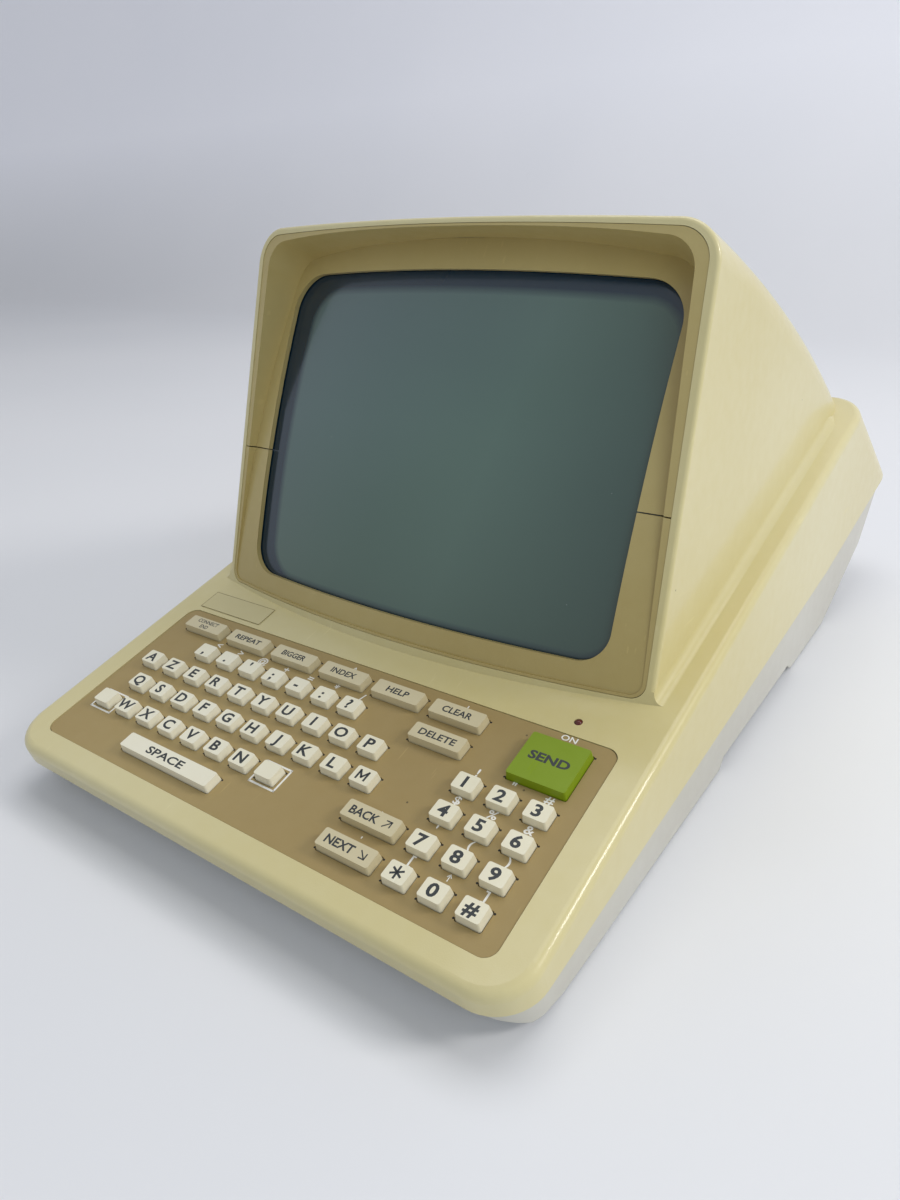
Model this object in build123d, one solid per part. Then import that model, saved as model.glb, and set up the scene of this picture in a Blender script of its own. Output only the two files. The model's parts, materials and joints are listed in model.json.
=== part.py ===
from build123d import *
from math import atan, cos, radians, sin, sqrt, tan
import os

# Videotex terminal with a fixed keyboard and a hooded screen.
# Everything is drawn in the deck frame first: X runs to the right along the key rows,
# Y runs up the deck to the rear, Z stands square on the deck, and the deck itself is Z = 0.
# The last step tilts the deck up by its slope and stands the terminal on its feet.

# The deck and its place over the table
DECK_SLOPE = 15.2
TABLE_DROP = 40.3
FOOT_STAND = 1.0

# Key grid, and the panel and the deck that it sets
COLUMN = 14.0
ROW = 13.1
KEY_WIDTH = 8.5
KEY_DEPTH = 6.9
LAST_COLUMN = 14
WIDE_KEY = COLUMN + KEY_WIDTH
SPACE_BAR = 3 * COLUMN + KEY_WIDTH
SEND_DEPTH = ROW + KEY_DEPTH
KEY_SPAN = LAST_COLUMN * COLUMN + KEY_WIDTH
GRID_SHIFT = 0.75
FIRST_COLUMN_X = GRID_SHIFT - KEY_SPAN / 2
PANEL_SIDE_MARGIN = 8.85
PANEL_FRONT_MARGIN = 6.9
PANEL_REAR_MARGIN = 6.0
PANEL_HALF_WIDTH = KEY_SPAN / 2 + PANEL_SIDE_MARGIN
PANEL_LOW_Y = -3 * ROW - PANEL_FRONT_MARGIN
PANEL_HIGH_Y = 2 * ROW + KEY_DEPTH + PANEL_REAR_MARGIN
DECK_SIDE = 13.1
DECK_FRONT = 11.0

# Upper case
WALL = 2.8
FIT = 0.3
HALF_WIDTH = PANEL_HALF_WIDTH + DECK_SIDE
SIDE_DRAFT = 2.0
FRONT_Y = PANEL_LOW_Y - DECK_FRONT
REAR_TOP_Y = 312.0
REAR_SLOPE = 46.9
FRONT_CORNER = 17.0
REAR_CORNER = 19.0
DECK_EDGE_ROUND = 3.6
EDGE_FRONT_DROP = 9.3
EDGE_BEND_Y = 240.0
EDGE_BEND_DROP = 60.8
EDGE_REAR_DROP = 77.0
DEEP = 140.0

# Widths that follow the picture tube, each half of a symmetric shape
TUBE_WIDTH = 200.0
OPENING_LOW_HALF = TUBE_WIDTH / 2 - 8.0
OPENING_HIGH_HALF = TUBE_WIDTH / 2 - 6.0
MOUTH_LOW_HALF = OPENING_LOW_HALF + 16.2
MOUTH_HIGH_HALF = OPENING_HIGH_HALF + 9.6
FOLD_LOW_HALF = MOUTH_LOW_HALF - 1.8
FOLD_HIGH_HALF = OPENING_HIGH_HALF + 0.5
HOOD_RIM = 3.0
HOOD_HALF_WIDTH = MOUTH_LOW_HALF + HOOD_RIM

# Hood over the screen
HOOD_SIDE_LEAN = 0.030
HOOD_BACK_RADIUS = 860.0
HOOD_BACK_FOOT = 9.0
HOOD_CORNER = 15.0
HOOD_RIM_ROUND = 1.6
HOOD_FOOT_ROUND = 4.0
HOOD_FOOT_TAPER = 12.0
HOOD_FRONT_Y = 63.7
HOOD_FRONT_LEAN = 31.1
BOW_RADIUS = 609.0
BOW_RISE = 10.3
VENT_COUNT = 9
VENT_PITCH = 7.5
VENT_WIDTH = 2.6
VENT_LENGTH = 62.0
VENT_TOP_ANGLE = 9.6

# Screen surround, measured up the front of the hood
MOUTH_LOW = 0.6
MOUTH_HIGH = 160.2
MOUTH_CROWN = 1.2
MOUTH_SAG = 3.4
MOUTH_CORNER = 11.5
LIP = 1.2
FOLD_HIGH = 153.0
FOLD_CROWN = 8.5
FOLD_DEPTH = 16.0
FACE_RADIUS = 660.0
FACE_SET_BACK = 1.4
FACE_THICK = 2.4
OPENING_LOW = 9.4
OPENING_HIGH = 146.4
OPENING_CROWN = 2.4
OPENING_SAG = 2.0
OPENING_LOW_CORNER = 13.0
OPENING_HIGH_CORNER = 16.0
SEAM_HEIGHT = 66.0
SEAM_GAP = 0.5

# Picture tube
TUBE_AIM_HEIGHT = 78.0
TUBE_HEIGHT = 152.0
TUBE_CORNER = 22.0
TUBE_GAP = 0.5
TUBE_RIM_DEPTH = 34.0
CONE_DEPTH = 92.0
CONE_RADIUS = 46.0
NECK_TAPER = 36.0
TUBE_FUNNEL_DEPTH = CONE_DEPTH + NECK_TAPER
NECK_RADIUS = 14.5
NECK_END = TUBE_FUNNEL_DEPTH + 78.0
BAND_THICK = 1.4
BAND_WIDTH = 14.0
EAR_LENGTH = 15.0
EAR_HEIGHT = 11.0
EAR_THICK = 1.6
EAR_HOLE_RADIUS = 2.6
YOKE_START = 8.0
YOKE_LENGTH = NECK_TAPER + YOKE_START
YOKE_RADIUS = 46.0

# Keyboard
KEY_RISE = 3.1
PANEL_SINK = 0.3
PANEL_THICK = 2.5
PANEL_CORNER = 5.0
PANEL_LEDGE = 3.0
KEY_FLARE = 0.35
KEY_TRAVEL = 2.2
KEY_ROUND = 0.8
FLANGE = 1.0
FLANGE_THICK = 1.0
MAT_THICK = 0.9
BOARD_THICK = 1.6

# Inner boards and fittings
SCREW_RADIUS = 2.0
POST_RADIUS = 4.0
LAMP_X = PANEL_HALF_WIDTH - 20.1
LAMP_Y = PANEL_HIGH_Y + 6.6
LAMP_RADIUS = 1.5
FOOT_LENGTH = 28.0
FOOT_WIDTH = 13.0
FOOT_THICK = 3.0
ROCKER_LENGTH = 20.0
ROCKER_WIDTH = 13.0
ROCKER_SWING = 9.0
KNOB_RADIUS = 8.0
PIN_CIRCLE = 7.5
PIN_LENGTH = 6.0
HEAD_RADIUS = 3.2

# Tray
TRAY_WALL = 2.5
TRAY_HALF_WIDTH = HALF_WIDTH - 1.8
LIP_HEIGHT = 4.0
ARCH_START = 99.0
ARCH_END = 198.0
ARCH_LIFT = 4.3
POST_MEET = 24.0
CASE_POST_X = HALF_WIDTH - 9.3
CASE_POST_Y = (72.0, 296.0)
FOOT_X = HALF_WIDTH - 11.8
FOOT_Y = (-8.0, 222.0)
MAIN_LOW_X = -34.0
MAIN_HIGH_X = 104.0
MAIN_LOW_Y = 108.0
MAIN_HIGH_Y = 262.0
MAIN_BOARD_HEIGHT = 13.0
TRANSFORMER_X = MAIN_LOW_X - 28.5
TRANSFORMER_Y = 234.0

# Fittings on the sloping rear wall
REAR_ROW_DROP = 42.0
CORD_MARGIN = 28.2
MAINS_X = CORD_MARGIN - HALF_WIDTH
MAINS_RADIUS = 3.6
LINE_X = HALF_WIDTH - CORD_MARGIN
LINE_RADIUS = 2.6
DATA_SOCKET_X = 60.0
SOCKET_RADIUS = 6.8
KNOB_X = 0.0
ROCKER_X = -56.0

os.makedirs("parts", exist_ok=True)

SLOPE_RUN = tan(radians(REAR_SLOPE))
DRAFT_RUN = tan(radians(SIDE_DRAFT))
PANEL_TOP = -PANEL_SINK
PANEL_BOTTOM = PANEL_TOP - PANEL_THICK
KEY_TOP = PANEL_TOP + KEY_RISE + PANEL_SINK
MAT_TOP = PANEL_BOTTOM - FIT - FLANGE_THICK - KEY_TRAVEL - FIT
BOARD_TOP = MAT_TOP - MAT_THICK


def table_z(y):
    """Height of the table under the deck frame, at a place along the deck."""
    return -tan(radians(DECK_SLOPE)) * y - TABLE_DROP


def edge_z(y):
    """Height of the upper case's lower edge along the side."""
    if y < EDGE_BEND_Y:
        share = (y - FRONT_Y) / (EDGE_BEND_Y - FRONT_Y)
        return -EDGE_FRONT_DROP - share * (EDGE_BEND_DROP - EDGE_FRONT_DROP)
    share = (y - EDGE_BEND_Y) / (REAR_TOP_Y + EDGE_REAR_DROP / SLOPE_RUN - EDGE_BEND_Y)
    return -EDGE_BEND_DROP - share * (EDGE_REAR_DROP - EDGE_BEND_DROP)


def side_prism(points, half_width):
    """A side view, given as (y, z) points, drawn out to both sides."""
    face = make_face(Polyline([(0, y, z) for y, z in points], close=True))
    return extrude(face, half_width, dir=(1, 0, 0), both=True)


def drafted_block(half_width, lean, low_z, high_z):
    """A block along the deck whose side walls lean in towards the top by lean per mm."""
    low = half_width - lean * low_z
    high = half_width - lean * high_z
    face = make_face(Polyline([(-low, -200, low_z), (low, -200, low_z),
                               (high, -200, high_z), (-high, -200, high_z)], close=True))
    return extrude(face, 700, dir=(0, 1, 0))


def rear_y(z, inset):
    """Y of the sloping rear wall at a height, moved in square to the wall."""
    return REAR_TOP_Y - z / SLOPE_RUN - inset / sin(radians(REAR_SLOPE))


def base_form(inset, bottom):
    """The low body under the deck, with its sloping rear wall and rounded plan corners."""
    front = FRONT_Y + inset
    points = [(front, -inset), (front, bottom), (rear_y(bottom, inset), bottom),
              (rear_y(-inset, inset), -inset)]
    solid = side_prism(points, HALF_WIDTH + 20)
    solid = solid & drafted_block(HALF_WIDTH - inset, DRAFT_RUN, bottom, 0)
    corners = solid.edges().filter_by(lambda e: abs(e.tangent_at(0.5).X) < 0.5
                                      and abs(e.tangent_at(0.5).Z) > 0.5)
    rear = corners.filter_by(lambda e: e.center().Y > 100)
    solid = fillet(rear, REAR_CORNER - inset)
    front_edges = solid.edges().filter_by(lambda e: e.center().Y < front + 1
                                          and abs(e.tangent_at(0.5).Z) > 0.5)
    solid = fillet(front_edges, FRONT_CORNER - inset)
    if inset == 0:
        top = solid.edges().filter_by(lambda e: abs(e.center().Z) < 0.01
                                      and e.bounding_box().size.Z < 0.01)
        solid = fillet(top, DECK_EDGE_ROUND)
    return solid


def hood_plane(out=0.0, up=0.0):
    """Plane of the hood's front: local Y runs up the front and local Z points out of it."""
    lean = radians(HOOD_FRONT_LEAN)
    y = HOOD_FRONT_Y - out * cos(lean) + up * sin(lean)
    z = out * sin(lean) + up * cos(lean)
    return Plane(origin=(0, y, z), x_dir=(1, 0, 0), z_dir=(0, -cos(lean), sin(lean)))


def bow_block(set_back, reach=420.0):
    """All that lies behind the hood's bowed front."""
    half = 160.0
    dip = half * half / (2 * BOW_RADIUS)
    across = hood_plane()
    bottom = Plane(origin=across.origin - across.y_dir * 220, x_dir=(1, 0, 0),
                   z_dir=across.y_dir)
    # On this plane local Y points back into the hood.
    front = -BOW_RISE + set_back
    arc = ThreePointArc((-half, front + dip), (0, front), (half, front + dip))
    lines = Polyline((half, front + dip), (half, reach), (-half, reach), (-half, front + dip))
    return extrude(bottom * make_face(arc + lines), 520)


def hood_form(inset):
    """The hood: a long curved back, straight leaning sides and a bowed front."""
    radius = HOOD_BACK_RADIUS
    slope = radians(REAR_SLOPE)
    foot_y = rear_y(HOOD_BACK_FOOT, 0)
    centre_y = foot_y - radius * sin(slope)
    centre_z = HOOD_BACK_FOOT - radius * cos(slope)
    radius = radius - inset

    def back_z(y):
        return centre_z + sqrt(radius ** 2 - (y - centre_y) ** 2)

    foot_y = centre_y + radius * sin(slope)
    foot_z = centre_z + radius * cos(slope)
    low = -30.0
    start_y = 90.0
    middle_y = 200.0
    back = ThreePointArc((0, start_y, back_z(start_y)), (0, middle_y, back_z(middle_y)),
                         (0, foot_y, foot_z))
    rest = Polyline((0, foot_y, foot_z), (0, rear_y(low, inset), low), (0, 20, low),
                    (0, 20, back_z(start_y)), (0, start_y, back_z(start_y)))
    solid = extrude(make_face(back + rest), 130, dir=(1, 0, 0), both=True)
    solid = solid & drafted_block(HOOD_HALF_WIDTH - inset, HOOD_SIDE_LEAN, low, 200)
    shoulders = solid.edges().filter_by(lambda e: e.center().Y > start_y
                                        and abs(e.center().X) > 50
                                        and e.center().Z > low + 2)
    solid = fillet(shoulders, HOOD_CORNER - inset)
    solid = solid & bow_block(inset)
    if inset == 0:
        front = hood_plane(BOW_RISE)
        rim = solid.edges().filter_by(lambda e: abs(front.to_local_coords(e.center()).Z) < 14
                                      and front.to_local_coords(e.center()).Y > 20)
        solid = fillet(rim, HOOD_RIM_ROUND)
    return solid


def hood_foot():
    """The hollow round along each side of the hood, tapering out before the rear corner."""
    size = HOOD_FOOT_ROUND
    taper = HOOD_FOOT_TAPER
    taper_y = REAR_TOP_Y - HOOD_CORNER / sin(radians(REAR_SLOPE)) - taper
    lean = HOOD_SIDE_LEAN * size
    lift = 2 * size
    room = Pos(0, -lift / SLOPE_RUN, lift) * base_form(0, -DEEP) & bow_block(0)
    wedges = []
    for side in (-1, 1):
        foot = side * (HOOD_HALF_WIDTH - size / 2)
        inner = side * (HOOD_HALF_WIDTH - lean)
        outer = side * (HOOD_HALF_WIDTH + size)
        bend = size * (1 - sqrt(0.5))
        arc = ThreePointArc((inner, 0, size), (side * (HOOD_HALF_WIDTH + bend), 0, bend), (outer, 0, 0))
        lines = Polyline((outer, 0, 0), (outer, 0, -WALL / 2), (foot, 0, -WALL / 2), (foot, 0, size),
                         (inner, 0, size))
        end = Plane(origin=(outer, taper_y, 0), z_dir=(side * taper, size, taper))
        beyond = end * Box(400, 400, 80, align=ON_BASE)
        wedges.append((extrude(make_face(arc + lines), 400, dir=(0, 1, 0)) & room) - beyond)
    return wedges


def outline(low_half, high_half, low, high, corner_low, corner_high, crown, sag=0.0):
    """A window with straight sides, a crowned top and a bottom that may sag in the middle."""
    top = ThreePointArc((-high_half, high), (0, high + crown), (high_half, high))
    right = Line((high_half, high), (low_half, low))
    left = Line((-low_half, low), (-high_half, high))
    if sag:
        bottom = ThreePointArc((low_half, low), (0, low - sag), (-low_half, low))
    else:
        bottom = Line((low_half, low), (-low_half, low))
    face = make_face(top + right + bottom + left)
    corners = face.vertices().sort_by(Axis.Y)
    face = fillet(corners[:2], corner_low)
    corners = face.vertices().filter_by(lambda v: v.Y > (low + high) / 2).sort_by(Axis.Y)
    return fillet(corners[-2:], corner_high)


def mouth_prism(grow, inner=-40.0, outer=30.0):
    """The hood's front opening, drawn straight through."""
    face = outline(MOUTH_LOW_HALF + grow, MOUTH_HIGH_HALF + grow, MOUTH_LOW - grow,
                   MOUTH_HIGH + grow, 6.0, MOUTH_CORNER, MOUTH_CROWN, MOUTH_SAG)
    return extrude(hood_plane(inner) * face, outer - inner)


def face_sphere(set_back):
    """The ball whose skin is the surround's face, or one that lies set_back behind it."""
    radius = FACE_RADIUS - set_back
    lean = radians(HOOD_FRONT_LEAN)
    depth = BOW_RISE - FACE_SET_BACK - FACE_RADIUS
    centre = (0, HOOD_FRONT_Y - depth * cos(lean), depth * sin(lean))
    place = Plane(origin=centre, x_dir=(0, cos(lean), -sin(lean)), z_dir=(1, 0, 0))
    return place * Sphere(radius)


def screen_opening(grow=0.0):
    face = outline(OPENING_LOW_HALF + grow, OPENING_HIGH_HALF + grow, OPENING_LOW - grow,
                   OPENING_HIGH + grow, OPENING_LOW_CORNER, OPENING_HIGH_CORNER, OPENING_CROWN,
                   OPENING_SAG)
    return extrude(hood_plane(-60) * face, 100)


def visor_hollow():
    """The hollow in front of the surround's face, narrowing from the rim to the fold."""
    rim = outline(MOUTH_LOW_HALF - LIP, MOUTH_HIGH_HALF - LIP, MOUTH_LOW + LIP,
                  MOUTH_HIGH - LIP, 5.0, MOUTH_CORNER, MOUTH_CROWN, MOUTH_SAG)
    fold = outline(FOLD_LOW_HALF, FOLD_HIGH_HALF, MOUTH_LOW + LIP, FOLD_HIGH, 5.0, MOUTH_CORNER,
                   FOLD_CROWN, MOUTH_SAG)
    return loft([hood_plane(BOW_RISE + 4) * rim, hood_plane(-FOLD_DEPTH) * fold])


def make_surrounds():
    """Upper and lower screen surround, parted by a thin seam."""
    body = mouth_prism(-FIT / 2) & bow_block(0.3)
    body = body - (visor_hollow() - face_sphere(0))
    body = body - face_sphere(FACE_THICK)
    body = body - screen_opening()
    below = extrude(hood_plane(0, SEAM_HEIGHT - SEAM_GAP / 2 - 150) * Rectangle(300, 300), 80,
                    both=True)
    above = extrude(hood_plane(0, SEAM_HEIGHT + SEAM_GAP / 2 + 150) * Rectangle(300, 300), 80,
                    both=True)
    return body & above, body & below


def tube_plane(depth=0.0):
    """Plane square to the tube's axis, measured back from the centre of the glass face."""
    lean = radians(HOOD_FRONT_LEAN)
    centre_out = BOW_RISE - FACE_SET_BACK - FACE_RADIUS
    tip = atan(TUBE_AIM_HEIGHT / FACE_RADIUS)
    reach = FACE_RADIUS - FACE_THICK - TUBE_GAP - depth
    out = centre_out + reach * cos(tip)
    up = reach * sin(tip)
    y = HOOD_FRONT_Y - out * cos(lean) + up * sin(lean)
    z = out * sin(lean) + up * cos(lean)
    turn = lean + tip
    return Plane(origin=(0, y, z), x_dir=(1, 0, 0), z_dir=(0, -cos(turn), sin(turn)))


def joined(place, sketches):
    """Several flat outlines as one sketch on a plane."""
    flat = Sketch() + list(sketches)
    return place * flat


def tube_turning(points):
    """A turned piece on the tube's axis, from (radius, depth behind the face) points."""
    face = make_face(Polyline([(radius, -depth) for radius, depth in points], close=True))
    return tube_plane() * revolve(Plane.XZ * face, Axis.Z)


def make_picture_tube():
    """Glass face, funnel, neck and pins as one closed bulb."""
    rim = RectangleRounded(TUBE_WIDTH, TUBE_HEIGHT, TUBE_CORNER)
    panel = extrude(tube_plane(TUBE_RIM_DEPTH) * rim, TUBE_RIM_DEPTH + 20)
    panel = panel & face_sphere(FACE_THICK + TUBE_GAP)
    seam = RectangleRounded(TUBE_WIDTH - 2, TUBE_HEIGHT - 2, TUBE_CORNER)
    throat = RectangleRounded(2 * CONE_RADIUS, 2 * CONE_RADIUS, CONE_RADIUS - 0.1)
    funnel = loft([tube_plane(TUBE_RIM_DEPTH) * seam, tube_plane(CONE_DEPTH) * throat])
    neck = tube_turning([(0, CONE_DEPTH - 0.5), (CONE_RADIUS, CONE_DEPTH - 0.5),
                         (CONE_RADIUS, CONE_DEPTH), (NECK_RADIUS, TUBE_FUNNEL_DEPTH),
                         (NECK_RADIUS, NECK_END), (0, NECK_END)])
    pins = [Location((PIN_CIRCLE * cos(radians(60 * i)), PIN_CIRCLE * sin(radians(60 * i)))) * Circle(0.6)
            for i in range(6)]
    pins = extrude(joined(tube_plane(NECK_END + PIN_LENGTH), pins), PIN_LENGTH + 1)
    return panel + funnel + neck + pins


def ear_places():
    """Centres of the band's ears, across the tube."""
    half_x = TUBE_WIDTH / 2 + 0.5
    half_y = TUBE_HEIGHT / 2 - 5.2
    return [(sx * half_x, sy * half_y) for sx in (-1, 1) for sy in (-1, 1)]


def make_tube_band():
    """Steel tension band round the face, with an ear at each corner."""
    thick = BAND_THICK + 0.1
    outer = RectangleRounded(TUBE_WIDTH + 2 * thick, TUBE_HEIGHT + 2 * thick, TUBE_CORNER + thick)
    inner = RectangleRounded(TUBE_WIDTH + 0.2, TUBE_HEIGHT + 0.2, TUBE_CORNER)
    band = extrude(tube_plane(TUBE_RIM_DEPTH - 3) * (outer - inner), BAND_WIDTH)
    ears = Sketch()
    holes = Sketch()
    for x, y in ear_places():
        inward = -3.5 if x > 0 else 3.5
        ears = ears + Location((x + inward, y)) * RectangleRounded(EAR_LENGTH, EAR_HEIGHT, 4)
        holes = holes + Location((x, y)) * Circle(EAR_HOLE_RADIUS)
    ears = ears - inner - holes
    return band + extrude(tube_plane(TUBE_RIM_DEPTH - 3) * ears, EAR_THICK)


def tube_posts():
    """Posts inside the hood that the band's ears are screwed to."""
    rings = [Location((x, y)) * Circle(POST_RADIUS) for x, y in ear_places()]
    rings += [Location((1.08 * x, y)) * Rectangle(16, 5) for x, y in ear_places()]
    posts = extrude(joined(tube_plane(TUBE_RIM_DEPTH - 3 - EAR_THICK), rings), 60)
    return posts & face_sphere(FACE_THICK + TUBE_GAP + 0.5) & hood_form(WALL / 2)


def tube_screw_holes():
    rings = [Location((x, y)) * Circle(SCREW_RADIUS + 0.05) for x, y in ear_places()]
    return extrude(joined(tube_plane(TUBE_RIM_DEPTH - 3), rings), 13)


def make_tube_screws():
    """Four screws with round heads, put in from behind through the ears."""
    shafts = [Location((x, y)) * Circle(SCREW_RADIUS) for x, y in ear_places()]
    heads = [Location((x, y)) * Circle(SCREW_RADIUS * 2) for x, y in ear_places()]
    back = tube_plane(TUBE_RIM_DEPTH - 3)
    screws = extrude(joined(back, shafts), 12)
    heads = extrude(joined(tube_plane(TUBE_RIM_DEPTH - 3 + 2.2), heads), 2.2)
    return screws + heads


def make_yoke():
    """Deflection coils on a flared former, close round the cone and the neck."""
    gap = 0.4
    lean = (CONE_RADIUS - NECK_RADIUS) / (TUBE_FUNNEL_DEPTH - CONE_DEPTH)
    front = CONE_DEPTH + YOKE_START
    mouth = CONE_RADIUS - lean * (front - CONE_DEPTH) + 2 * gap
    back = front + YOKE_LENGTH
    return tube_turning([(mouth, front), (YOKE_RADIUS, front), (YOKE_RADIUS, front + 6),
                         (YOKE_RADIUS - 10, front + 11), (YOKE_RADIUS - 15, back - 14),
                         (NECK_RADIUS + 9, back - 13), (NECK_RADIUS + 9, back),
                         (NECK_RADIUS + gap, back), (NECK_RADIUS + gap, TUBE_FUNNEL_DEPTH + gap)])


def make_anode_cap(tube):
    """Rubber cap over the high-voltage contact on the funnel."""
    place = tube_plane(62) * Location((0, 0, 0), (-115, 0, 0))
    cap = place * (Pos(0, 0, 50) * Cylinder(10, 14) + Pos(0, 0, 59) * Cylinder(5, 5))
    return (cap - tube).solids().sort_by(SortBy.VOLUME)[-1]


def make_socket_board():
    """Small board with the socket that plugs on to the tube's pins."""
    socket = extrude(tube_plane(NECK_END + PIN_LENGTH + 2) * Circle(NECK_RADIUS - 1), PIN_LENGTH + 1.5)
    pins = [Location((PIN_CIRCLE * cos(radians(60 * i)), PIN_CIRCLE * sin(radians(60 * i)))) * Circle(0.8)
            for i in range(6)]
    socket = socket - extrude(joined(tube_plane(NECK_END + PIN_LENGTH + 0.4), pins), PIN_LENGTH + 2)
    card = extrude(tube_plane(NECK_END + PIN_LENGTH + 2 + BOARD_THICK) * RectangleRounded(50, 42, 3),
                   BOARD_THICK)
    return socket + card


def key_list():
    """Every key as (node, x, y, width, depth), with its left front corner at x and y."""
    keys = []

    def add(node, column, row, width=KEY_WIDTH, depth=KEY_DEPTH):
        keys.append((node, FIRST_COLUMN_X + COLUMN * column, ROW * row, width, depth))

    names = ("key_connect", "key_repeat", "key_zoom", "key_index", "key_guide", "key_cancel")
    for place, node in enumerate(names):
        add(node, 2 * place, 2, WIDE_KEY)
    for place in range(7):
        add("keys_punctuation_row", 1.5 + place, 1)
    for place in range(10):
        add("keys_upper_letter_row", place, 0)
        add("keys_middle_letter_row", 0.5 + place, -1)
    for place in range(6):
        add("keys_lower_letter_row", 1 + place, -2)
    add("key_shift_left", 0, -2)
    add("key_shift_right", 7, -2)
    add("key_space", 2.5, -3, SPACE_BAR)
    for node, row in (("key_correction", 1), ("key_back", -2), ("key_next", -3)):
        add(node, 10, row, WIDE_KEY)
    add("key_send", 13, 1, WIDE_KEY, SEND_DEPTH)
    digits = ("123", "456", "789", "s0h")
    words = {"s": "star", "h": "hash"}
    for line, text in enumerate(digits):
        for place, letter in enumerate(text):
            add("key_" + words.get(letter, letter), 12 + place, -line)
    return keys


def key_block(key, grow, low, high, lean=0.0):
    """A rounded block over a key's outline, between two heights."""
    node, x, y, width, depth = key
    middle = Location((x + width / 2, y + depth / 2, low))
    bottom = RectangleRounded(width + 2 * grow, depth + 2 * grow, KEY_ROUND)
    if not lean:
        return extrude(middle * bottom, high - low)
    top = RectangleRounded(width + 2 * (grow - lean), depth + 2 * (grow - lean), KEY_ROUND)
    return loft([middle * bottom, Location((x + width / 2, y + depth / 2, high)) * top])


def make_key(key):
    """A cap with sloping walls, its skirt through the panel and a stop flange under it."""
    cap = key_block(key, KEY_FLARE, PANEL_TOP, KEY_TOP, KEY_FLARE)
    skirt = key_block(key, KEY_FLARE, PANEL_BOTTOM - FIT, PANEL_TOP)
    flange = key_block(key, KEY_FLARE + FLANGE, PANEL_BOTTOM - FIT - FLANGE_THICK,
                       PANEL_BOTTOM - FIT)
    return cap + skirt + flange


def plate(low_x, high_x, low_y, high_y, corner, low_z, high_z):
    middle = Location(((low_x + high_x) / 2, (low_y + high_y) / 2, low_z))
    return extrude(middle * RectangleRounded(high_x - low_x, high_y - low_y, corner), high_z - low_z)


def board_posts():
    """Places of the posts that carry the key board under the panel."""
    return [(x, y) for x in (-100.0, 0.0, 100.0) for y in (PANEL_LOW_Y + 2.4, PANEL_HIGH_Y - 2.2)]


def make_panel(keys):
    """Brown key panel: a plate in the deck's opening, with a frame under the deck."""
    half = PANEL_HALF_WIDTH - 0.2
    panel = plate(-half, half, PANEL_LOW_Y + 0.2, PANEL_HIGH_Y - 0.2, PANEL_CORNER, PANEL_BOTTOM,
                  PANEL_TOP)
    half = PANEL_HALF_WIDTH + PANEL_LEDGE
    frame = plate(-half, half, PANEL_LOW_Y - PANEL_LEDGE, PANEL_HIGH_Y + PANEL_LEDGE,
                  PANEL_CORNER + PANEL_LEDGE, -WALL - 1.5, -WALL)
    half = -FIRST_COLUMN_X + 3.5
    frame = frame - plate(-half, half, -3 * ROW - 2.1, 2 * ROW + KEY_DEPTH + 2.1, 2, -20, 0)
    panel = panel + frame
    for x, y in board_posts():
        panel = panel + Pos(x, y, BOARD_TOP) * Cylinder(2.2, -WALL - BOARD_TOP, align=ON_BASE)
    holes = [key_block(key, KEY_FLARE + FIT, PANEL_BOTTOM - 1, PANEL_TOP + 1) for key in keys]
    for x, y in board_posts():
        holes.append(Pos(x, y, BOARD_TOP - 1) * Cylinder(1.05, 4.5, align=ON_BASE))
    return panel - holes


ON_BASE = (Align.CENTER, Align.CENTER, Align.MIN)
TABLE = Plane(origin=(0, 0, -TABLE_DROP), x_dir=(1, 0, 0),
              z_dir=(0, sin(radians(DECK_SLOPE)), cos(radians(DECK_SLOPE))))


def lower_form(inset, floor, lip=60.0):
    """The tray's outer shape up to its lip, or its hollow when inset by the tray's wall."""
    def on_table(y, height):
        return (y, table_z(y) + height / cos(radians(DECK_SLOPE)))

    front = FRONT_Y + WALL + FIT + inset
    rear_low = -EDGE_REAR_DROP - 3
    points = [(front, edge_z(FRONT_Y) + lip), (front, edge_z(FRONT_Y) - 6.5 + floor / 2),
              (-46 + inset, -24.0 + floor), on_table(-31, FOOT_STAND + floor),
              on_table(ARCH_START, FOOT_STAND + floor),
              on_table(ARCH_START + 5, FOOT_STAND + ARCH_LIFT + floor),
              on_table(ARCH_END - 5, FOOT_STAND + ARCH_LIFT + floor),
              on_table(ARCH_END, FOOT_STAND + floor), on_table(257, FOOT_STAND + floor),
              (333 - inset / 2, -104.8 + floor), (rear_y(rear_low, WALL + FIT + inset), rear_low),
              (rear_y(edge_z(380) + lip, WALL + FIT + inset), edge_z(380) + lip),
              (EDGE_BEND_Y, edge_z(EDGE_BEND_Y) + lip)]
    form = side_prism(points, 200) & drafted_block(TRAY_HALF_WIDTH - inset, 0, -DEEP, 100)
    return form & base_form(WALL + FIT + inset, -DEEP)


def post(x, y, low, high, radius, bore=0.0):
    """A round post square to the table, between two heights over it."""
    column = Pos(x, y, low) * Cylinder(radius, high - low, align=ON_BASE)
    if bore:
        column = column - Pos(x, y, low) * Cylinder(bore, high - low, align=ON_BASE)
    return TABLE * column


def case_posts():
    """Places of the four posts that hold the two case halves together."""
    return [(x, y) for x in (-CASE_POST_X, CASE_POST_X) for y in CASE_POST_Y]


def main_board_posts():
    return [(x, y) for x in (MAIN_LOW_X + 6, MAIN_HIGH_X - 6) for y in (MAIN_LOW_Y + 6, MAIN_HIGH_Y - 6)]


def foot_places():
    return [(x, y) for x in (-FOOT_X, FOOT_X) for y in FOOT_Y]


def make_key_mat():
    """Rubber mat between the keys and their board."""
    half = -FIRST_COLUMN_X + 3.5
    return plate(-half, half, -3 * ROW - 1.5, 2 * ROW + KEY_DEPTH + 1.5, 2, BOARD_TOP, MAT_TOP)


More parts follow.
